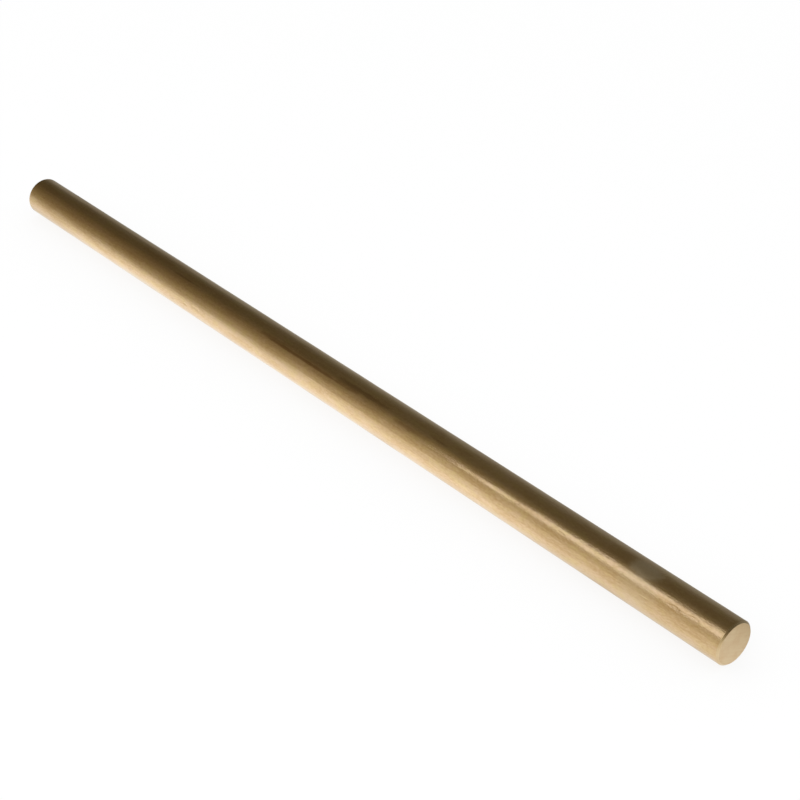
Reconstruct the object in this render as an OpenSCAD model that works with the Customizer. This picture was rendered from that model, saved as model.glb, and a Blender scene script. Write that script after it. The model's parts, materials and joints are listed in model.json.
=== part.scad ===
// Solid round rod of drawn brass, lying along X, with its two sawn ends deburred to a small chamfer.
// Millimetres. The origin is the middle of the rod, on its axis, and +Z is up as the rod lies on a floor.

/* [Rod] */
// Diameter of the drawn rod
rod_d = 12; // [4:0.5:25]
// Length of the rod from end face to end face
rod_l = 300; // [100:10:1000]

/* [Ends] */
// Length along the rod of the chamfer on each end's edge
chamfer_l = 0.5; // [0.2:0.1:1]
// Angle of the chamfer's slope, measured from the rod's axis
chamfer_angle = 45; // [30:5:60]

/* [Hidden] */
$fn = 96;
rod_r = rod_d / 2;
// Radius of the flat that the chamfer leaves on each sawn end
face_r = rod_r - chamfer_l * tan(chamfer_angle);

// Half of the rod's lengthwise section, on the positive side of the axis, from one end face to the other
module half_section() {
    polygon([
        [0, -rod_l / 2],
        [face_r, -rod_l / 2],
        [rod_r, -rod_l / 2 + chamfer_l],
        [rod_r, rod_l / 2 - chamfer_l],
        [face_r, rod_l / 2],
        [0, rod_l / 2]
    ]);
}

// The whole rod: its half section turned about the axis, which then lies along X
module round_rod() {
    color("#b5935c")
        rotate([0, 90, 0])
            rotate_extrude()
                half_section();
}

round_rod();
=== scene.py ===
"""Looks of a brass round rod: drawn stock with two sawn and deburred ends, lying on a pale studio floor.

Metres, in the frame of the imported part: the rod lies along X with its middle at the origin, and +Z is up.
"""
import json
import math
from collections import namedtuple

import bpy
from bpy.props import FloatProperty, FloatVectorProperty, IntProperty, PointerProperty
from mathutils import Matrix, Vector


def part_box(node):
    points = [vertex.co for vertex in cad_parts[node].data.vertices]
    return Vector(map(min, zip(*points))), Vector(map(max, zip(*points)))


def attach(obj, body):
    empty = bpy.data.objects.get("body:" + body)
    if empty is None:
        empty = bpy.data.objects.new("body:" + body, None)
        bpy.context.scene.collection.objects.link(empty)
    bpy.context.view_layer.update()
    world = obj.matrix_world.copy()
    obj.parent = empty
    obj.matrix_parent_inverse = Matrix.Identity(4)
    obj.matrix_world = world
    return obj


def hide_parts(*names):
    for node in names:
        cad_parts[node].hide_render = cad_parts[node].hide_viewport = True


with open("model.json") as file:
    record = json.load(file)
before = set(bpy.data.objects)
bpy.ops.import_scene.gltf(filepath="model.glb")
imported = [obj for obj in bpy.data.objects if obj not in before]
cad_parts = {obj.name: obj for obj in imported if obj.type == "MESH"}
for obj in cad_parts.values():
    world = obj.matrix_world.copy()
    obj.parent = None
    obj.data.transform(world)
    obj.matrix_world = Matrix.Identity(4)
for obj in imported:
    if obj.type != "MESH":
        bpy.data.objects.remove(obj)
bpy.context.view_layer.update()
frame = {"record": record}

bl_info = {
    "name": "Brass round rod",
    "version": (1, 0, 0),
    "blender": (4, 5, 0),
    "location": "3D View > Sidebar > Brass rod",
    "description": "Makes a drawn brass round rod and the studio that it is shown in",
    "category": "Add Mesh",
}

MILLIMETRE = 0.001
QUARTER_TURN = math.radians(90)
ROD_NODE = "round_rod"
BODY = "root"
rod_low, rod_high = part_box(ROD_NODE)
CAD_LENGTH = rod_high.x - rod_low.x
CAD_DIAMETER = rod_high.z - rod_low.z


def full_round_length():
    """Length between the two chamfers, as the record's mount on the outside diameter gives it."""
    for mount in frame["record"]["mounts"]:
        if mount["name"] == "outside_diameter":
            return mount["dims"]["length_mm"] * MILLIMETRE
    raise RuntimeError("the record has no mount named outside_diameter")


CAD_CHAMFER = (CAD_LENGTH - full_round_length()) / 2


class RodSizes(bpy.types.PropertyGroup):
    """Sizes of the rod and of the marks in its surface."""

    diameter: FloatProperty(
        name="Diameter",
        description="Diameter of the drawn rod",
        default=CAD_DIAMETER,
        min=0.001,
        unit="LENGTH",
    )
    length: FloatProperty(
        name="Length",
        description="Length from end face to end face",
        default=CAD_LENGTH,
        min=0.02,
        unit="LENGTH",
    )
    chamfer: FloatProperty(
        name="Chamfer",
        description="Width of the deburred edge at each end",
        default=CAD_CHAMFER,
        min=0.0001,
        unit="LENGTH",
    )
    chamfer_softness: FloatProperty(
        name="Chamfer softness",
        description="How far the file rounded the two edges of the chamfer",
        default=0.05 * MILLIMETRE,
        min=0.00001,
        unit="LENGTH",
    )
    sides: IntProperty(
        name="Sides", description="Flat faces round the rod, a multiple of 4", default=192, min=32, max=256
    )
    waviness: FloatProperty(
        name="Waviness",
        description="Greatest height of the slow waves that drawing and handling leave in the surface",
        default=0.035 * MILLIMETRE,
        min=0.0,
        unit="LENGTH",
    )
    saw_depth: FloatProperty(
        name="Saw mark depth",
        description="Depth of the saw marks on the end faces",
        default=0.03 * MILLIMETRE,
        min=0.0,
        unit="LENGTH",
    )


class BrassFinish(bpy.types.PropertyGroup):
    """Colours and gloss of the brass."""

    clean_colour: FloatVectorProperty(
        name="Clean brass",
        description="Colour of the bright drawn metal",
        default=(0.908, 0.679, 0.45),
        min=0.0,
        max=1.0,
        subtype="COLOR",
    )
    olive_colour: FloatVectorProperty(
        name="Olive brass",
        description="Colour of the bright metal where it leans to green",
        default=(0.893, 0.69, 0.39),
        min=0.0,
        max=1.0,
        subtype="COLOR",
    )
    tarnish_colour: FloatVectorProperty(
        name="Tarnished brass",
        description="Colour of the metal where it has darkened in the air",
        default=(0.78, 0.55, 0.31),
        min=0.0,
        max=1.0,
        subtype="COLOR",
    )
    cut_colour: FloatVectorProperty(
        name="Fresh cut",
        description="Colour of the sawn and filed metal at the ends",
        default=(0.88, 0.70, 0.45),
        min=0.0,
        max=1.0,
        subtype="COLOR",
    )
    # Colour of the dark reddish brown streaks that are put at listed places on the rod's upper side.
    dark_streak_colour: FloatVectorProperty(
        name="Reddish streaks",
        description="Colour of the metal in the few reddish brown streaks",
        default=(0.52, 0.33, 0.17),
        min=0.0,
        max=1.0,
        subtype="COLOR",
    )
    smudge_colour: FloatVectorProperty(
        name="Smudged brass",
        description="Colour of the metal where handling has left it grey",
        default=(0.88, 0.72, 0.515),
        min=0.0,
        max=1.0,
        subtype="COLOR",
    )
    smooth_roughness: FloatProperty(
        name="Smooth roughness",
        description="Roughness of the drawn surface at its brightest",
        default=0.10,
        min=0.0,
        max=1.0,
        subtype="FACTOR",
    )
    dull_roughness: FloatProperty(
        name="Dull roughness",
        description="Roughness of the drawn surface where it is tarnished",
        default=0.155,
        min=0.0,
        max=1.0,
        subtype="FACTOR",
    )
    line_gloss: FloatProperty(
        name="Gloss across the lines",
        description="How much more the fine lines spread a reflection across them than along them",
        default=1.0,
        min=0.0,
        max=1.0,
        subtype="FACTOR",
    )


class StudioSetup(bpy.types.PropertyGroup):
    """The floor, the light and the camera."""

    lens: FloatProperty(
        name="Lens", description="Focal length on a 36 mm sensor", default=85.0, min=10.0, unit="CAMERA"
    )
    camera_azimuth: FloatProperty(
        name="Camera azimuth",
        description="Turn of the camera about the rod's middle, from looking along +Y",
        default=math.radians(49.21),
        subtype="ANGLE",
    )
    camera_elevation: FloatProperty(
        name="Camera elevation",
        description="Height of the camera above the level of the rod, as an angle",
        default=math.radians(33.27),
        subtype="ANGLE",
    )
    camera_distance: FloatProperty(
        name="Camera distance",
        description="Distance from the camera to the point that it aims at",
        default=0.5245,
        min=0.05,
        unit="LENGTH",
    )
    camera_aim: FloatVectorProperty(
        name="Camera aim",
        description="Point on the rod's level that the camera aims at",
        default=(0.0211, 0.0086, 0.0),
        subtype="TRANSLATION",
    )
    floor_size: FloatProperty(
        name="Floor size", description="Length of the floor's sides", default=12.0, min=1.0, unit="LENGTH"
    )
    floor_share: FloatProperty(
        name="Floor's own white",
        description="Share of the floor's white that no shadow darkens",
        default=0.85,
        min=0.0,
        max=1.0,
        subtype="FACTOR",
    )


def use_only(piece):
    """Leaves one object selected and active, so that an operator acts on it alone."""
    bpy.ops.object.select_all(action="DESELECT")
    piece.select_set(True)
    bpy.context.view_layer.objects.active = piece


def pick(piece, kind, test):
    """Selects, in edit mode, the piece's vertices, edges or faces that the test picks."""
    bpy.ops.object.mode_set(mode="EDIT")
    bpy.ops.mesh.select_mode(type=kind)
    bpy.ops.mesh.select_all(action="DESELECT")
    bpy.ops.object.mode_set(mode="OBJECT")
    mesh = piece.data
    items = {"VERT": mesh.vertices, "EDGE": mesh.edges, "FACE": mesh.polygons}[kind]
    found = 0
    for item in items:
        item.select = test(item)
        found += item.select
    bpy.ops.object.mode_set(mode="EDIT")
    if not found:
        raise RuntimeError(f"nothing was picked on {piece.name}")


def ends_of(mesh, edge):
    """The places of an edge's two ends."""
    return tuple(mesh.vertices[i].co for i in edge.vertices)


def off_axis(place):
    """Distance of a place from the rod's axis."""
    return math.hypot(place.y, place.z)


def add_rod_blank(sizes):
    """A plain cylinder of the rod's size along X, its place in its mesh."""
    bpy.ops.object.select_all(action="DESELECT")
    bpy.ops.mesh.primitive_cylinder_add(
        vertices=sizes.sides,
        radius=sizes.diameter / 2,
        depth=sizes.length,
        end_fill_type="NGON",
        location=(0, 0, 0),
        rotation=(0, QUARTER_TURN, 0),
    )
    rod = bpy.context.object
    rod.name = "drawn_rod"
    rod.data.name = "drawn_rod"
    bpy.ops.object.transform_apply(location=True, rotation=True, scale=True)
    return rod


NEAR = 0.001 * MILLIMETRE
SOFT_SEGMENTS = 2
ROUND_PROFILE = 0.5


def cut_chamfers(rod, sizes):
    """Bevels both end edges to a flat chamfer and rounds the chamfer's own two edges a little."""
    mesh = rod.data
    end_x = sizes.length / 2

    def on_rim(edge):
        first, second = ends_of(mesh, edge)
        return abs(abs(first.x) - end_x) < NEAR and abs(first.x - second.x) < NEAR

    pick(rod, "EDGE", on_rim)
    bpy.ops.mesh.bevel(offset_type="OFFSET", offset=sizes.chamfer, segments=1, affect="EDGES")
    bpy.ops.object.mode_set(mode="OBJECT")

    def round_the_rod(edge):
        first, second = ends_of(mesh, edge)
        return abs(first.x - second.x) < NEAR

    pick(rod, "EDGE", round_the_rod)
    bpy.ops.mesh.bevel(
        offset_type="OFFSET",
        offset=sizes.chamfer_softness,
        segments=SOFT_SEGMENTS,
        profile=ROUND_PROFILE,
        affect="EDGES",
    )
    bpy.ops.object.mode_set(mode="OBJECT")


LENGTH_CUTS = (10, 30)


def divide_length(rod, sizes):
    """Cuts the drawn surface into short rings, so that the slow waves have faces to bend."""
    mesh = rod.data
    radius = sizes.diameter / 2
    for cuts in LENGTH_CUTS:

        def along_the_rod(edge):
            first, second = ends_of(mesh, edge)
            on_surface = abs(off_axis(first) - radius) < NEAR and abs(off_axis(second) - radius) < NEAR
            return on_surface and abs(first.x - second.x) > sizes.chamfer

        pick(rod, "EDGE", along_the_rod)
        bpy.ops.mesh.subdivide(number_cuts=cuts)
        bpy.ops.object.mode_set(mode="OBJECT")


END_RING = 0.2 * MILLIMETRE


def fill_end_faces(rod, sizes):
    """Gives each end face a ring and a grid inside it, so that the saw marks have faces to bend."""
    mesh = rod.data
    end_x = sizes.length / 2
    for side in (-1, 1):

        def is_end_face(face):
            return len(face.vertices) == sizes.sides and face.center.x * side > 0

        pick(rod, "FACE", is_end_face)
        bpy.ops.mesh.inset(thickness=END_RING, depth=0)
        bpy.ops.mesh.delete(type="ONLY_FACE")
        bpy.ops.object.mode_set(mode="OBJECT")
        inner_radius = min(
            off_axis(vertex.co) for vertex in mesh.vertices if abs(vertex.co.x - side * end_x) < NEAR
        )

        def on_inner_rim(edge):
            return all(
                abs(place.x - side * end_x) < NEAR and off_axis(place) < inner_radius + NEAR
                for place in ends_of(mesh, edge)
            )

        pick(rod, "EDGE", on_inner_rim)
        bpy.ops.mesh.fill_grid(span=sizes.sides // 4)
        bpy.ops.object.mode_set(mode="OBJECT")


def group_vertices(rod, name, test):
    """Puts the vertices that the test picks in a vertex group."""
    pick(rod, "VERT", test)
    bpy.ops.object.vertex_group_add()
    rod.vertex_groups.active.name = name
    bpy.ops.object.vertex_group_assign()
    bpy.ops.object.mode_set(mode="OBJECT")


def displace(rod, group, texture, stretch, direction, strength, middle):
    """Moves a group of vertices by a procedural texture that is stretched along the axes.

    A vertex stays where the texture's value is the middle.
    """
    bpy.ops.object.empty_add(type="PLAIN_AXES", location=(0, 0, 0))
    ruler = bpy.context.object
    ruler.scale = stretch
    bpy.context.view_layer.update()
    use_only(rod)
    bpy.ops.object.modifier_add(type="DISPLACE")
    modifier = rod.modifiers[-1]
    modifier.texture = texture
    modifier.texture_coords = "OBJECT"
    modifier.texture_coords_object = ruler
    modifier.vertex_group = group
    modifier.direction = direction
    modifier.strength = strength
    modifier.mid_level = middle
    bpy.ops.object.modifier_apply(modifier=modifier.name)
    bpy.data.objects.remove(ruler)


WAVE_SIZE = (0.007, 0.0016, 0.0016)
WAVE_MIDDLE = 0.5
SAW_MARK_SIZE = (1.0, 0.0007, 0.030)
# The side, name and middle of each end face. With these middles the saw's marks only cut inwards.
END_FACES = ((-1, "far end face", 0.0), (1, "near end face", 1.0))


def work_surface(rod, sizes):
    """Leaves the die's slow waves along the rod and the saw's marks on its two ends."""
    end_x = sizes.length / 2
    waves_end = end_x - 2 * sizes.chamfer
    face_radius = sizes.diameter / 2 - sizes.chamfer - sizes.chamfer_softness
    group_vertices(rod, "drawn surface", lambda vertex: abs(vertex.co.x) < waves_end)
    clouds = bpy.data.textures.new("slow clouds", "CLOUDS")
    clouds.noise_scale = 1.0
    clouds.noise_depth = 1
    displace(rod, "drawn surface", clouds, WAVE_SIZE, "NORMAL", sizes.waviness, WAVE_MIDDLE)
    for side, name, middle in END_FACES:
        group_vertices(
            rod,
            name,
            lambda vertex: abs(vertex.co.x - side * end_x) < NEAR and off_axis(vertex.co) < face_radius,
        )
        displace(rod, name, clouds, SAW_MARK_SIZE, "X", sizes.saw_depth, middle)
    rod.vertex_groups.clear()


SAME_PLACE = NEAR / 10
SMOOTH_ANGLE = math.radians(40)


def finish_mesh(rod):
    """Turns every face outwards and smooths the shading, with the broad faces leading."""
    pick(rod, "FACE", lambda face: True)
    bpy.ops.mesh.remove_doubles(threshold=SAME_PLACE)
    bpy.ops.mesh.normals_make_consistent(inside=False)
    bpy.ops.object.mode_set(mode="OBJECT")
    bpy.ops.object.shade_smooth_by_angle(angle=SMOOTH_ANGLE)
    bpy.ops.object.modifier_add(type="WEIGHTED_NORMAL")
    modifier = rod.modifiers[-1]
    modifier.keep_sharp = True
    bpy.ops.object.modifier_apply(modifier=modifier.name)


def new_group(name, inputs, outputs):
    """An empty shader node group with named sockets, and its input and output nodes."""
    group = bpy.data.node_groups.new(name, "ShaderNodeTree")
    for label, kind, default in inputs:
        socket = group.interface.new_socket(name=label, in_out="INPUT", socket_type=kind)
        if default is not None:
            socket.default_value = default
    for label, kind in outputs:
        group.interface.new_socket(name=label, in_out="OUTPUT", socket_type=kind)
    return group, group.nodes.new("NodeGroupInput"), group.nodes.new("NodeGroupOutput")


def maths(tree, operation, first, second=None):
    """A Math node; first and second are sockets or numbers. Returns its output."""
    node = tree.nodes.new("ShaderNodeMath")
    node.operation = operation
    for slot, value in enumerate((first, second)):
        if isinstance(value, bpy.types.NodeSocket):
            tree.links.new(value, node.inputs[slot])
        elif value is not None:
            node.inputs[slot].default_value = value
    return node.outputs[0]


def added(tree, total, value, weight):
    """The total plus a value times its weight; each is a socket or a number. Returns the output."""
    return maths(tree, "ADD", total, maths(tree, "MULTIPLY", value, weight))


def vector_maths(tree, operation, *vectors):
    """A Vector Math node on sockets. Returns its output, which is a number for LENGTH."""
    node = tree.nodes.new("ShaderNodeVectorMath")
    node.operation = operation
    for vector, socket in zip(vectors, node.inputs):
        tree.links.new(vector, socket)
    return node.outputs["Value" if operation == "LENGTH" else "Vector"]


def parts_of(tree, vector):
    """The three parts of a vector socket, as sockets."""
    node = tree.nodes.new("ShaderNodeSeparateXYZ")
    tree.links.new(vector, node.inputs["Vector"])
    return node.outputs["X"], node.outputs["Y"], node.outputs["Z"]


def ranged(tree, value, low, high, new_low=0.0, new_high=1.0, smooth=False):
    """A Map Range node from low..high to new_low..new_high, held at its ends. Returns its output."""
    node = tree.nodes.new("ShaderNodeMapRange")
    node.clamp = True
    if smooth:
        node.interpolation_type = "SMOOTHSTEP"
    tree.links.new(value, node.inputs["Value"])
    node.inputs["From Min"].default_value = low
    node.inputs["From Max"].default_value = high
    node.inputs["To Min"].default_value = new_low
    node.inputs["To Max"].default_value = new_high
    return node.outputs["Result"]


def mixed(tree, share, first, second):
    """A colour Mix node; share is a socket, first and second are colours or sockets. Returns its output."""
    node = tree.nodes.new("ShaderNodeMix")
    node.data_type = "RGBA"
    tree.links.new(share, node.inputs["Factor"])
    for name, value in (("A", first), ("B", second)):
        socket = next(s for s in node.inputs if s.name == name and s.type == "RGBA")
        if isinstance(value, bpy.types.NodeSocket):
            tree.links.new(value, socket)
        else:
            socket.default_value = (*value, 1.0)
    return next(s for s in node.outputs if s.type == "RGBA")


def scaled_vector(group, entry, along, across):
    """A group's vector, its first part divided by the input named along and the other two by across."""
    parts = group.nodes.new("ShaderNodeCombineXYZ")
    group.links.new(entry.outputs[along], parts.inputs["X"])
    group.links.new(entry.outputs[across], parts.inputs["Y"])
    group.links.new(entry.outputs[across], parts.inputs["Z"])
    return vector_maths(group, "DIVIDE", entry.outputs["Vector"], parts.outputs["Vector"])


def noise_of(tree, vector, detail, roughness):
    """A noise whose features are about 1 in size. Returns its value."""
    noise = tree.nodes.new("ShaderNodeTexNoise")
    noise.inputs["Scale"].default_value = 1.0
    noise.inputs["Detail"].default_value = detail
    noise.inputs["Roughness"].default_value = roughness
    tree.links.new(vector, noise.inputs["Vector"])
    return noise.outputs["Fac"]


NOISE_MIDDLE = 0.5
LINE_DETAIL = 3.0
LINE_ROUGHNESS = 0.6
PATCH_DETAIL = 4.0
PATCH_ROUGHNESS = 0.55
PATCH_EDGES = (0.38, 0.68)
DASH_EDGES = (0.05, 0.25, 1.0, 0.0)
RAGGED_DETAIL = 3.0


def tool_lines_group():
    """Fine lines that a tool leaves: long in the vector's first direction, narrow in the other two."""
    group, entry, leave = new_group(
        "Tool lines",
        (
            ("Vector", "NodeSocketVector", None),
            ("Line length", "NodeSocketFloat", 0.04),
            ("Line width", "NodeSocketFloat", 0.0002),
        ),
        (("Height", "NodeSocketFloat"),),
    )
    place = scaled_vector(group, entry, "Line length", "Line width")
    group.links.new(noise_of(group, place, LINE_DETAIL, LINE_ROUGHNESS), leave.inputs["Height"])
    return group


def tarnish_group():
    """Soft patches where the air has darkened the metal: 0 clean, 1 tarnished."""
    group, entry, leave = new_group(
        "Tarnish",
        (
            ("Vector", "NodeSocketVector", None),
            ("Patch length", "NodeSocketFloat", 0.03),
            ("Patch width", "NodeSocketFloat", 0.004),
        ),
        (("Mask", "NodeSocketFloat"),),
    )
    place = scaled_vector(group, entry, "Patch length", "Patch width")
    patches = noise_of(group, place, PATCH_DETAIL, PATCH_ROUGHNESS)
    group.links.new(ranged(group, patches, *PATCH_EDGES, smooth=True), leave.inputs["Mask"])
    return group


def handling_marks_group():
    """Sparse small dashes from handling: 1 in a mark, 0 between them."""
    group, entry, leave = new_group(
        "Handling marks",
        (
            ("Vector", "NodeSocketVector", None),
            ("Mark length", "NodeSocketFloat", 0.004),
            ("Mark width", "NodeSocketFloat", 0.001),
            ("Share", "NodeSocketFloat", 0.2),
        ),
        (("Mask", "NodeSocketFloat"),),
    )
    cells = group.nodes.new("ShaderNodeTexVoronoi")
    cells.inputs["Scale"].default_value = 1.0
    place = scaled_vector(group, entry, "Mark length", "Mark width")
    group.links.new(place, cells.inputs["Vector"])
    dash = ranged(group, cells.outputs["Distance"], *DASH_EDGES, smooth=True)
    lot = group.nodes.new("ShaderNodeSeparateColor")
    group.links.new(cells.outputs["Color"], lot.inputs["Color"])
    chosen = maths(group, "LESS_THAN", lot.outputs["Red"], entry.outputs["Share"])
    group.links.new(maths(group, "MULTIPLY", dash, chosen), leave.inputs["Mask"])
    return group


def placed_mark_group():
    """One mark with a ragged edge at a place on the surface: 1 in its middle, 0 outside it."""
    group, entry, leave = new_group(
        "Placed mark",
        (
            ("Vector", "NodeSocketVector", None),
            ("Centre", "NodeSocketVector", None),
            ("Half size", "NodeSocketVector", (0.01, 0.001, 0.001)),
            ("Raggedness", "NodeSocketFloat", 0.6),
            ("Grain", "NodeSocketFloat", 600.0),
            ("Softness", "NodeSocketFloat", 0.7),
        ),
        (("Mask", "NodeSocketFloat"),),
    )
    offset = vector_maths(group, "SUBTRACT", entry.outputs["Vector"], entry.outputs["Centre"])
    reach = vector_maths(group, "LENGTH", vector_maths(group, "DIVIDE", offset, entry.outputs["Half size"]))
    noise = group.nodes.new("ShaderNodeTexNoise")
    noise.inputs["Detail"].default_value = RAGGED_DETAIL
    group.links.new(entry.outputs["Vector"], noise.inputs["Vector"])
    group.links.new(entry.outputs["Grain"], noise.inputs["Scale"])
    swing = maths(group, "SUBTRACT", noise.outputs["Fac"], NOISE_MIDDLE)
    edge = added(group, reach, swing, entry.outputs["Raggedness"])
    inside = maths(group, "DIVIDE", maths(group, "SUBTRACT", 1.0, edge), entry.outputs["Softness"])
    group.links.new(ranged(group, inside, 0.0, 1.0, smooth=True), leave.inputs["Mask"])
    return group


def placed_group(tree, group, vector, **values):
    """The group's node in a material, with the vector and its own values. Returns its first output."""
    node = tree.nodes.new("ShaderNodeGroup")
    node.node_tree = group
    tree.links.new(vector, node.inputs["Vector"])
    for name, value in values.items():
        node.inputs[name.replace("_", " ").capitalize()].default_value = value
    return node.outputs[0]


def new_material(name):
    """A material with its Principled shader and the piece's own coordinates."""
    material = bpy.data.materials.new(name)
    material.use_nodes = True
    tree = material.node_tree
    shader = tree.nodes["Principled BSDF"]
    shader.inputs["Metallic"].default_value = 1.0
    coordinates = tree.nodes.new("ShaderNodeTexCoord")
    return material, tree, shader, coordinates.outputs["Object"]


def bumped(tree, shader, height, distance):
    """Feeds a height to the shader as bump, in which a height of 1 stands that distance proud."""
    bump = tree.nodes.new("ShaderNodeBump")
    bump.inputs["Strength"].default_value = 1.0
    bump.inputs["Distance"].default_value = distance
    tree.links.new(height, bump.inputs["Height"])
    tree.links.new(bump.outputs["Normal"], shader.inputs["Normal"])


# A mark's angle is in degrees: 0 is the rod's side towards -Y, where the camera stands, and 90 is its top.
Mark = namedtuple("Mark", "along_mm angle length_mm width_mm strength")
# Dark reddish brown streaks of colour, put at these places on the rod's upper side.
DARK_STREAKS = (
    Mark(-9.5, 55.2, 44, 1.2, 0.95),
    Mark(3, 54.6, 26, 1.0, 0.9),
    Mark(-21, 59, 18, 2.0, 0.5),
    Mark(18, 68, 28, 1.7, 0.65),
    Mark(38.6, 53.5, 17, 2.0, 0.6),
    Mark(49.5, 68, 8, 0.8, 0.5),
    Mark(-65, 67.5, 17, 1.2, 0.5),
    Mark(2, 60, 62, 3.2, 0.3),
    Mark(12, 59, 17, 2.0, 0.6),
)
SMUDGES = (
    Mark(122.6, 79, 12.8, 6.6, 1.0),
    Mark(123, 30, 15, 13, 0.35),
    Mark(-86, -30, 30, 5.0, 0.5),
)
NICKS = (
    Mark(134.8, 41, 5.0, 1.0, 1.6),
    Mark(140.6, 44, 4.6, 0.9, 1.0),
    Mark(126, 20.5, 3.2, 0.6, 0.9),
    Mark(81, 46.0, 3.0, 0.8, 0.5),
    Mark(97.4, 42, 3.0, 0.8, 0.6),
    Mark(-90.5, -6, 2.6, 0.8, 2.0),
    Mark(-68, -9, 1.8, 0.6, 2.2),
    Mark(-61, 1, 2.6, 0.8, 1.8),
    Mark(-55.5, 8, 5.0, 1.2, 1.8),
)


def placed_marks(tree, group, vector, marks, radius, **look):
    """The greatest of several placed marks, each times its strength."""
    total = None
    for mark in marks:
        turn = math.radians(mark.angle)
        centre = (mark.along_mm * MILLIMETRE, -radius * math.cos(turn), radius * math.sin(turn))
        half_width = mark.width_mm * MILLIMETRE / 2
        half_size = (mark.length_mm * MILLIMETRE / 2, half_width, half_width)
        mask = placed_group(tree, group, vector, centre=centre, half_size=half_size, **look)
        mask = maths(tree, "MULTIPLY", mask, mark.strength)
        total = mask if total is None else maths(tree, "MAXIMUM", total, mask)
    return total


# How much of each pattern goes into the tarnish, the gloss and the relief of the drawn surface. Here and
# below, a range is from, to, and the values at the two, which are 0 and 1 where it gives none.
STREAK_EDGES = (0.42, 0.62)
TARNISH_SHARE = 0.65
STREAK_SHARE = 0.3
SPECK_SHARES = (0.35, 0.65, -0.35, 0.35)
SMUDGE_METAL_LOSS = 0.024
SMUDGE_DULLNESS = 0.06
TARNISH_DULLNESS = 0.6
LINE_DULLNESS = 0.4
DULLNESS_EDGES = (0.1, 0.9)
LINE_HEIGHT = 0.15
GRAIN_HEIGHT = 0.6
# The specks stand out where the rod is worn, towards its near end.
SPECK_HEIGHTS = (0.06, 0.12, 0.12, 1.35)
HANDLING_DEPTH = 0.4
NICK_DEPTH = 1.6
DRAWN_RELIEF = 0.024 * MILLIMETRE


def drawn_side_material(finish, groups, radius):
    """The drawn surface: satin brass with lines along the rod, tarnish, dark reddish streaks, smudges and
    nicks.
    """
    material, tree, shader, place = new_material("drawn brass")
    fine = placed_group(tree, groups["lines"], place, line_length=0.035, line_width=0.00022)
    broad = placed_group(tree, groups["lines"], place, line_length=0.12, line_width=0.0011)
    grain = placed_group(tree, groups["lines"], place, line_length=0.006, line_width=0.00034)
    specks = placed_group(tree, groups["lines"], place, line_length=0.0011, line_width=0.00045)
    tarnish = placed_group(tree, groups["tarnish"], place, patch_length=0.014, patch_width=0.0032)
    marks = placed_group(tree, groups["marks"], place, mark_length=0.006, mark_width=0.0022, share=0.16)
    lean = placed_group(tree, groups["tarnish"], place, patch_length=0.0035, patch_width=0.0018)
    placed = groups["placed"]
    dark_streaks = placed_marks(tree, placed, place, DARK_STREAKS, radius, raggedness=1.2, grain=260.0, softness=0.7)
    smudges = placed_marks(tree, placed, place, SMUDGES, radius, raggedness=0.5, grain=500.0, softness=0.55)
    nicks = placed_marks(tree, placed, place, NICKS, radius, raggedness=0.9, grain=1500.0, softness=0.7)
    streaks = ranged(tree, broad, *STREAK_EDGES, smooth=True)
    share = added(tree, maths(tree, "MULTIPLY", tarnish, TARNISH_SHARE), streaks, STREAK_SHARE)
    share = maths(tree, "ADD", share, ranged(tree, specks, *SPECK_SHARES))
    colour = mixed(tree, lean, finish.clean_colour, finish.olive_colour)
    colour = mixed(tree, share, colour, finish.tarnish_colour)
    colour = mixed(tree, dark_streaks, colour, finish.dark_streak_colour)
    colour = mixed(tree, smudges, colour, finish.smudge_colour)
    tree.links.new(colour, shader.inputs["Base Color"])
    tree.links.new(added(tree, 1.0, smudges, -SMUDGE_METAL_LOSS), shader.inputs["Metallic"])
    shader.inputs["Anisotropic"].default_value = finish.line_gloss
    round_the_rod = tree.nodes.new("ShaderNodeTangent")
    round_the_rod.direction_type = "RADIAL"
    round_the_rod.axis = "X"
    tree.links.new(round_the_rod.outputs["Tangent"], shader.inputs["Tangent"])
    dullness = added(tree, maths(tree, "MULTIPLY", tarnish, TARNISH_DULLNESS), fine, LINE_DULLNESS)
    roughness = ranged(tree, dullness, *DULLNESS_EDGES, finish.smooth_roughness, finish.dull_roughness)
    tree.links.new(added(tree, roughness, smudges, SMUDGE_DULLNESS), shader.inputs["Roughness"])
    along, _, _ = parts_of(tree, place)
    height = added(tree, broad, fine, LINE_HEIGHT)
    height = added(tree, height, grain, GRAIN_HEIGHT)
    height = added(tree, height, specks, ranged(tree, along, *SPECK_HEIGHTS))
    height = added(tree, height, marks, -HANDLING_DEPTH)
    height = added(tree, height, nicks, -NICK_DEPTH)
    bumped(tree, shader, height, DRAWN_RELIEF)
    return material


FILED_TARNISH = 0.4
FILED_ROUGHNESS = (0.3, 0.7, 0.22, 0.34)
FILED_RELIEF = 0.006 * MILLIMETRE


def filed_chamfer_material(finish, groups):
    """The deburred edge: bright filed metal with lines that run round the rod."""
    material, tree, shader, place = new_material("filed brass")
    along, side, up = parts_of(tree, place)
    squares = maths(tree, "ADD", maths(tree, "POWER", side, 2.0), maths(tree, "POWER", up, 2.0))
    round_the_rod = tree.nodes.new("ShaderNodeCombineXYZ")
    tree.links.new(side, round_the_rod.inputs["X"])
    tree.links.new(along, round_the_rod.inputs["Y"])
    tree.links.new(maths(tree, "SQRT", squares), round_the_rod.inputs["Z"])
    lines = placed_group(
        tree,
        groups["lines"],
        round_the_rod.outputs["Vector"],
        line_length=0.006,
        line_width=0.00008,
    )
    tarnish = placed_group(tree, groups["tarnish"], place, patch_length=0.004, patch_width=0.003)
    share = maths(tree, "MULTIPLY", tarnish, FILED_TARNISH)
    tree.links.new(mixed(tree, share, finish.cut_colour, finish.tarnish_colour), shader.inputs["Base Color"])
    tree.links.new(ranged(tree, lines, *FILED_ROUGHNESS), shader.inputs["Roughness"])
    bumped(tree, shader, lines, FILED_RELIEF)
    return material


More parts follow.
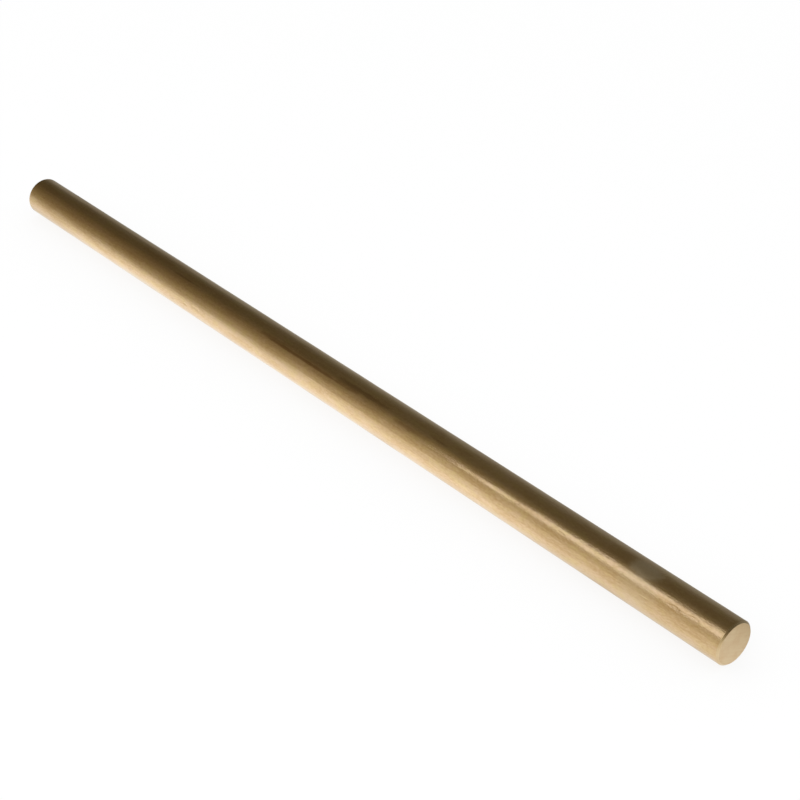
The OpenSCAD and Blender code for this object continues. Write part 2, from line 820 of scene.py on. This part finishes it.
SAW_TURN = math.radians(24)
SAWN_TARNISH = 0.45
SAW_LINE_SHARE = 0.3
SAWN_ROUGHNESS = (0.3, 0.7, 0.3, 0.5)
SAW_STEP_HEIGHT = 1.5
SAWN_RELIEF = 0.03 * MILLIMETRE


def sawn_face_material(finish, groups):
    """The sawn end: straight saw lines across the face, and a little tarnish."""
    material, tree, shader, place = new_material("sawn brass")
    turn = tree.nodes.new("ShaderNodeMapping")
    turn.inputs["Rotation"].default_value = (SAW_TURN, 0.0, QUARTER_TURN)
    tree.links.new(place, turn.inputs["Vector"])
    lines = placed_group(tree, groups["lines"], turn.outputs["Vector"], line_length=0.02, line_width=0.00018)
    steps = placed_group(tree, groups["lines"], turn.outputs["Vector"], line_length=0.05, line_width=0.0009)
    tarnish = placed_group(tree, groups["tarnish"], place, patch_length=0.004, patch_width=0.003)
    share = added(tree, maths(tree, "MULTIPLY", tarnish, SAWN_TARNISH), lines, SAW_LINE_SHARE)
    tree.links.new(mixed(tree, share, finish.cut_colour, finish.tarnish_colour), shader.inputs["Base Color"])
    tree.links.new(ranged(tree, lines, *SAWN_ROUGHNESS), shader.inputs["Roughness"])
    bumped(tree, shader, added(tree, lines, steps, SAW_STEP_HEIGHT), SAWN_RELIEF)
    return material


def assign_material(rod, material, test):
    """Gives the faces that the test picks a material in a slot of its own."""
    rod.data.materials.append(material)
    pick(rod, "FACE", test)
    rod.active_material_index = len(rod.data.materials) - 1
    bpy.ops.object.material_slot_assign()
    bpy.ops.object.mode_set(mode="OBJECT")


def paint_rod(rod, sizes, finish):
    """Gives the drawn surface, the filed chamfers and the sawn faces their materials."""
    groups = {
        "lines": tool_lines_group(),
        "tarnish": tarnish_group(),
        "marks": handling_marks_group(),
        "placed": placed_mark_group(),
    }
    chamfer_start = sizes.length / 2 - sizes.chamfer - sizes.chamfer_softness
    side_material = drawn_side_material(finish, groups, sizes.diameter / 2)
    assign_material(rod, side_material, lambda face: abs(face.center.x) < chamfer_start)
    chamfer_material = filed_chamfer_material(finish, groups)
    assign_material(rod, chamfer_material, lambda face: abs(face.center.x) >= chamfer_start)
    face_start = sizes.length / 2 - 2 * sizes.saw_depth
    face_radius = sizes.diameter / 2 - sizes.chamfer - sizes.chamfer_softness / 2
    assign_material(
        rod,
        sawn_face_material(finish, groups),
        lambda face: abs(face.center.x) > face_start and off_axis(face.center) < face_radius,
    )


class BRASSROD_OT_drawn_rod(bpy.types.Operator):
    """Makes the drawn brass rod with its filed chamfers and sawn ends"""

    bl_idname = "brass_rod.drawn_rod"
    bl_label = "Drawn rod"
    bl_options = {"REGISTER", "UNDO"}

    def execute(self, context):
        sizes = context.scene.brass_rod_sizes
        rod = add_rod_blank(sizes)
        cut_chamfers(rod, sizes)
        divide_length(rod, sizes)
        fill_end_faces(rod, sizes)
        work_surface(rod, sizes)
        finish_mesh(rod)
        paint_rod(rod, sizes, context.scene.brass_rod_finish)
        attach(rod, BODY)
        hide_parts(ROD_NODE)
        return {"FINISHED"}


WHITE = (1.0, 1.0, 1.0)
MATT_FLOOR = (0.95, 0.95, 0.95)
FAR_END_HORIZON = (0.40, 0.37, 0.28)
NEAR_END_HORIZON = (0.66, 0.62, 0.51)
NEAR_END_WALL = (0.53, 0.49, 0.38)
BACK_HORIZON = (0.205, 0.205, 0.19)
LIT_FLOOR = (0.985, 0.965, 0.91)
# The X part of a mirrored direction, where the room beyond the far end changes to that beyond the near end.
NEAR_END_HEADINGS = (-0.73, -0.60)
# The pool of light beside the rod. Its level at the rod's line is held at 1, and half of POOL_LEVEL is left
# at POOL_DISTANCE from it. The ranges are in metres, along the rod or across it.
POOL_DISTANCE = 0.016
POOL_LEVEL = 1.5
POOL_FALL = (-0.03, 0.03, 1.15, 1.9)
POOL_FAR_FADE = (-0.155, -0.105, 0.76, 1.0)
POOL_NEAR_FADE = (0.055, 0.115, 1.0, 0.60)
POOL_BACK_FADE = (0.0, 0.045, 1.0, 0.0)
POOL_BACK_LEVEL = (-0.12, 0.12, 0.3, 0.5)
BEHIND_THE_ROD = (-0.05, 0.05)
ASIDE_OF_THE_ROD = (0.007, 0.011)


def floor_in_gloss(tree):
    """The floor as the rod mirrors it: white beside its middle, and as dim as the room at a distance."""
    coordinates = tree.nodes.new("ShaderNodeTexCoord")
    place = coordinates.outputs["Object"]
    along, side, _ = parts_of(tree, place)
    away = maths(tree, "ABSOLUTE", side)
    power = ranged(tree, along, *POOL_FALL, smooth=True)
    fall = maths(tree, "POWER", maths(tree, "DIVIDE", away, POOL_DISTANCE), power)
    pool = maths(tree, "MINIMUM", maths(tree, "DIVIDE", POOL_LEVEL, maths(tree, "ADD", fall, 1.0)), 1.0)
    far_fade = ranged(tree, along, *POOL_FAR_FADE, smooth=True)
    near_fade = ranged(tree, along, *POOL_NEAR_FADE, smooth=True)
    back_level = ranged(tree, along, *POOL_BACK_LEVEL)
    back_fade = maths(tree, "MAXIMUM", ranged(tree, side, *POOL_BACK_FADE), back_level)
    pool = maths(tree, "MULTIPLY", pool, maths(tree, "MULTIPLY", far_fade, near_fade))
    pool = maths(tree, "MULTIPLY", pool, back_fade)
    heading, _, _ = parts_of(tree, vector_maths(tree, "NORMALIZE", place))
    near_end = ranged(tree, heading, *NEAR_END_HEADINGS)
    before = mixed(tree, near_end, FAR_END_HORIZON, NEAR_END_HORIZON)
    room = mixed(tree, ranged(tree, side, *BEHIND_THE_ROD, smooth=True), before, BACK_HORIZON)
    return mixed(tree, pool, room, mixed(tree, ranged(tree, away, *ASIDE_OF_THE_ROD), WHITE, LIT_FLOOR))


def floor_material(studio):
    """White to the camera but for the share that keeps the shadow, and a pool of light in reflections."""
    material = bpy.data.materials.new("studio floor")
    material.use_nodes = True
    material.cycles.emission_sampling = "NONE"
    tree = material.node_tree
    tree.nodes.clear()
    path = tree.nodes.new("ShaderNodeLightPath")
    matt = tree.nodes.new("ShaderNodeBsdfDiffuse")
    matt.inputs["Color"].default_value = (*MATT_FLOOR, 1.0)
    mirrored = path.outputs["Is Glossy Ray"]
    shown = tree.nodes.new("ShaderNodeEmission")
    tree.links.new(mixed(tree, mirrored, WHITE, floor_in_gloss(tree)), shown.inputs["Color"])
    seen = maths(tree, "MAXIMUM", path.outputs["Is Camera Ray"], path.outputs["Is Transmission Ray"])
    share = maths(tree, "MAXIMUM", maths(tree, "MULTIPLY", seen, studio.floor_share), mirrored)
    mix = tree.nodes.new("ShaderNodeMixShader")
    output = tree.nodes.new("ShaderNodeOutputMaterial")
    tree.links.new(share, mix.inputs["Fac"])
    tree.links.new(matt.outputs["BSDF"], mix.inputs[1])
    tree.links.new(shown.outputs["Emission"], mix.inputs[2])
    tree.links.new(mix.outputs["Shader"], output.inputs["Surface"])
    return material


def add_floor(studio, sizes):
    """The floor that the rod lies on."""
    bpy.ops.object.select_all(action="DESELECT")
    bpy.ops.mesh.primitive_plane_add(size=studio.floor_size, location=(0, 0, -sizes.diameter / 2))
    floor = bpy.context.object
    floor.name = "studio_floor"
    floor.data.materials.append(floor_material(studio))


# The dim room in reflections: its colours by the angle over the rod, in degrees from the camera's side.
ROOM_BEYOND_FAR_END = (
    (0, FAR_END_HORIZON),
    (16, (0.29, 0.252, 0.168)),
    (36, (0.198, 0.162, 0.10)),
    (64, (0.122, 0.095, 0.053)),
    (95, (0.077, 0.063, 0.036)),
    (119, (0.075, 0.063, 0.037)),
    (144, (0.092, 0.084, 0.06)),
    (152, (0.12, 0.115, 0.095)),
    (166, (0.215, 0.21, 0.19)),
    (180, BACK_HORIZON),
)
ROOM_BEYOND_NEAR_END = (
    (0, NEAR_END_WALL),
    (18, (0.515, 0.47, 0.35)),
    (28, (0.41, 0.37, 0.27)),
    (40, (0.32, 0.28, 0.19)),
    (64, (0.19, 0.16, 0.097)),
    (86, (0.10, 0.084, 0.05)),
    (119, (0.096, 0.083, 0.052)),
    (144, (0.108, 0.098, 0.07)),
    (152, (0.127, 0.12, 0.095)),
    (166, (0.178, 0.174, 0.153)),
    (180, BACK_HORIZON),
)


def colour_by_angle(tree, angle, stops):
    """A colour ramp whose stops stand at angles, in degrees from the camera side's horizon over the top."""
    ramp = tree.nodes.new("ShaderNodeValToRGB")
    elements = ramp.color_ramp.elements
    while len(elements) < len(stops):
        elements.new(1.0)
    for element, (degrees, colour) in zip(elements, stops):
        element.position = degrees / 180
        element.color = (*colour, 1.0)
    tree.links.new(maths(tree, "DIVIDE", angle, math.pi), ramp.inputs["Fac"])
    return ramp.outputs["Color"]


def light_world():
    """White to the camera, soft plain light on the floor, and in reflections a dim warm room."""
    world = bpy.data.worlds.new("studio")
    bpy.context.scene.world = world
    world.use_nodes = True
    world.cycles.sampling_method = "NONE"
    tree = world.node_tree
    tree.nodes.clear()
    path = tree.nodes.new("ShaderNodeLightPath")
    direction = tree.nodes.new("ShaderNodeTexCoord")
    along, side, up = parts_of(tree, direction.outputs["Generated"])
    height = maths(tree, "MAXIMUM", up, 0.0)
    angle = maths(tree, "ARCTAN2", height, maths(tree, "MULTIPLY", side, -1.0))
    room_colour = mixed(
        tree,
        ranged(tree, along, *NEAR_END_HEADINGS),
        colour_by_angle(tree, angle, ROOM_BEYOND_FAR_END),
        colour_by_angle(tree, angle, ROOM_BEYOND_NEAR_END),
    )
    room = tree.nodes.new("ShaderNodeBackground")
    tree.links.new(room_colour, room.inputs["Color"])
    soft = tree.nodes.new("ShaderNodeBackground")
    soft.inputs["Color"].default_value = (*WHITE, 1.0)
    white = tree.nodes.new("ShaderNodeBackground")
    white.inputs["Color"].default_value = (*WHITE, 1.0)
    in_gloss = tree.nodes.new("ShaderNodeMixShader")
    tree.links.new(path.outputs["Is Glossy Ray"], in_gloss.inputs["Fac"])
    tree.links.new(soft.outputs["Background"], in_gloss.inputs[1])
    tree.links.new(room.outputs["Background"], in_gloss.inputs[2])
    seen = maths(tree, "MAXIMUM", path.outputs["Is Camera Ray"], path.outputs["Is Transmission Ray"])
    to_camera = tree.nodes.new("ShaderNodeMixShader")
    tree.links.new(seen, to_camera.inputs["Fac"])
    tree.links.new(in_gloss.outputs["Shader"], to_camera.inputs[1])
    tree.links.new(white.outputs["Background"], to_camera.inputs[2])
    output = tree.nodes.new("ShaderNodeOutputWorld")
    tree.links.new(to_camera.outputs["Shader"], output.inputs["Surface"])


LAMP_COLOUR = (0.90, 0.935, 1.0)
SOFTBOX_SIZE = (0.8, 0.336)
SOFTBOX_ALONG = 0.098
SOFTBOX_DISTANCE = 0.488
SOFTBOX_RISE = math.radians(52)
SOFTBOX_RADIANCE = 0.60
# The lit band of the softbox's face, in shares of the face's length, from its far end, and of its depth.
BAND_BOTTOM = (0.0, 0.1, 0.14, 0.03)
BAND_TOP = (0.0, 0.045, 0.46, 0.49)
BAND_TOP_RISE = (0.045, 0.115, 0.0, 0.29)
BAND_LIGHT = (0.05, 0.16, 0.86, 1.05)
BAND_TIP_LIGHT = (0.0, 0.04, 0.8, 0.0)
BOTTOM_BLUR = (-0.04, 0.04)
TOP_BLUR = (-0.085, 0.085)


def shade_softbox_face(light):
    """Lights a band of the softbox's face between two soft edges, narrower at its far end."""
    light.use_nodes = True
    tree = light.node_tree
    emission = next(node for node in tree.nodes if node.type == "EMISSION")
    lamp_face = tree.nodes.new("ShaderNodeNewGeometry")
    along, up, _ = parts_of(tree, lamp_face.outputs["Parametric"])
    over_bottom = maths(tree, "SUBTRACT", up, ranged(tree, along, *BAND_BOTTOM))
    lower_edge = ranged(tree, over_bottom, *BOTTOM_BLUR, smooth=True)
    top = maths(tree, "ADD", ranged(tree, along, *BAND_TOP), ranged(tree, along, *BAND_TOP_RISE))
    upper_edge = ranged(tree, maths(tree, "SUBTRACT", top, up), *TOP_BLUR, smooth=True)
    band = maths(tree, "MULTIPLY", lower_edge, upper_edge)
    level = maths(tree, "ADD", ranged(tree, along, *BAND_TIP_LIGHT), ranged(tree, along, *BAND_LIGHT))
    tree.links.new(maths(tree, "MULTIPLY", band, level), emission.inputs["Strength"])


def add_softbox():
    """A long lamp whose flat face is turned to the rod. A radiance of 1 would show as white in a mirror."""
    width, depth = SOFTBOX_SIZE
    height = SOFTBOX_DISTANCE * math.sin(SOFTBOX_RISE)
    place = Vector((SOFTBOX_ALONG, -SOFTBOX_DISTANCE * math.cos(SOFTBOX_RISE), height))
    aim = Vector((SOFTBOX_ALONG, 0.0, 0.0))
    bpy.ops.object.light_add(type="AREA", location=place)
    lamp = bpy.context.object
    lamp.name = "strip_softbox"
    lamp.data.shape = "RECTANGLE"
    lamp.data.size = width
    lamp.data.size_y = depth
    lamp.data.energy = SOFTBOX_RADIANCE * math.pi * width * depth
    lamp.data.color = LAMP_COLOUR
    lamp.rotation_euler = (aim - place).to_track_quat("-Z", "Y").to_euler()
    lamp.visible_camera = False
    shade_softbox_face(lamp.data)


CAMERA_REACH = (0.01, 50.0)


def add_camera(studio):
    """The camera at the photograph's viewing angle."""
    azimuth, elevation = studio.camera_azimuth, studio.camera_elevation
    back = Vector(
        (
            math.sin(azimuth) * math.cos(elevation),
            -math.cos(azimuth) * math.cos(elevation),
            math.sin(elevation),
        )
    )
    bpy.ops.object.camera_add(location=Vector(studio.camera_aim) + back * studio.camera_distance)
    camera = bpy.context.object
    camera.name = "photo_camera"
    camera.rotation_euler = (-back).to_track_quat("-Z", "Y").to_euler()
    camera.data.lens = studio.lens
    camera.data.clip_start, camera.data.clip_end = CAMERA_REACH
    bpy.context.scene.camera = camera


class BRASSROD_OT_studio(bpy.types.Operator):
    """Makes the floor, the light and the camera"""

    bl_idname = "brass_rod.studio"
    bl_label = "Studio"
    bl_options = {"REGISTER", "UNDO"}

    def execute(self, context):
        scene = context.scene
        studio = scene.brass_rod_studio
        scene.view_settings.view_transform = "Standard"
        add_floor(studio, scene.brass_rod_sizes)
        light_world()
        add_softbox()
        add_camera(studio)
        return {"FINISHED"}


class BRASSROD_PT_sidebar(bpy.types.Panel):
    """Buttons and values of the brass rod in the sidebar"""

    bl_idname = "BRASSROD_PT_sidebar"
    bl_label = "Brass rod"
    bl_space_type = "VIEW_3D"
    bl_region_type = "UI"
    bl_category = "Brass rod"

    def draw(self, context):
        scene = context.scene
        for values in (scene.brass_rod_sizes, scene.brass_rod_finish, scene.brass_rod_studio):
            box = self.layout.box()
            for name in values.__annotations__:
                box.prop(values, name)
        self.layout.operator(BRASSROD_OT_drawn_rod.bl_idname)
        self.layout.operator(BRASSROD_OT_studio.bl_idname)


CLASSES = (
    RodSizes,
    BrassFinish,
    StudioSetup,
    BRASSROD_OT_drawn_rod,
    BRASSROD_OT_studio,
    BRASSROD_PT_sidebar,
)


def register():
    for item in CLASSES:
        bpy.utils.register_class(item)
    bpy.types.Scene.brass_rod_sizes = PointerProperty(type=RodSizes)
    bpy.types.Scene.brass_rod_finish = PointerProperty(type=BrassFinish)
    bpy.types.Scene.brass_rod_studio = PointerProperty(type=StudioSetup)


def unregister():
    del bpy.types.Scene.brass_rod_studio
    del bpy.types.Scene.brass_rod_finish
    del bpy.types.Scene.brass_rod_sizes
    for item in reversed(CLASSES):
        bpy.utils.unregister_class(item)


def main():
    register()
    bpy.ops.brass_rod.drawn_rod()
    bpy.ops.brass_rod.studio()


if __name__ == "__main__":
    main()
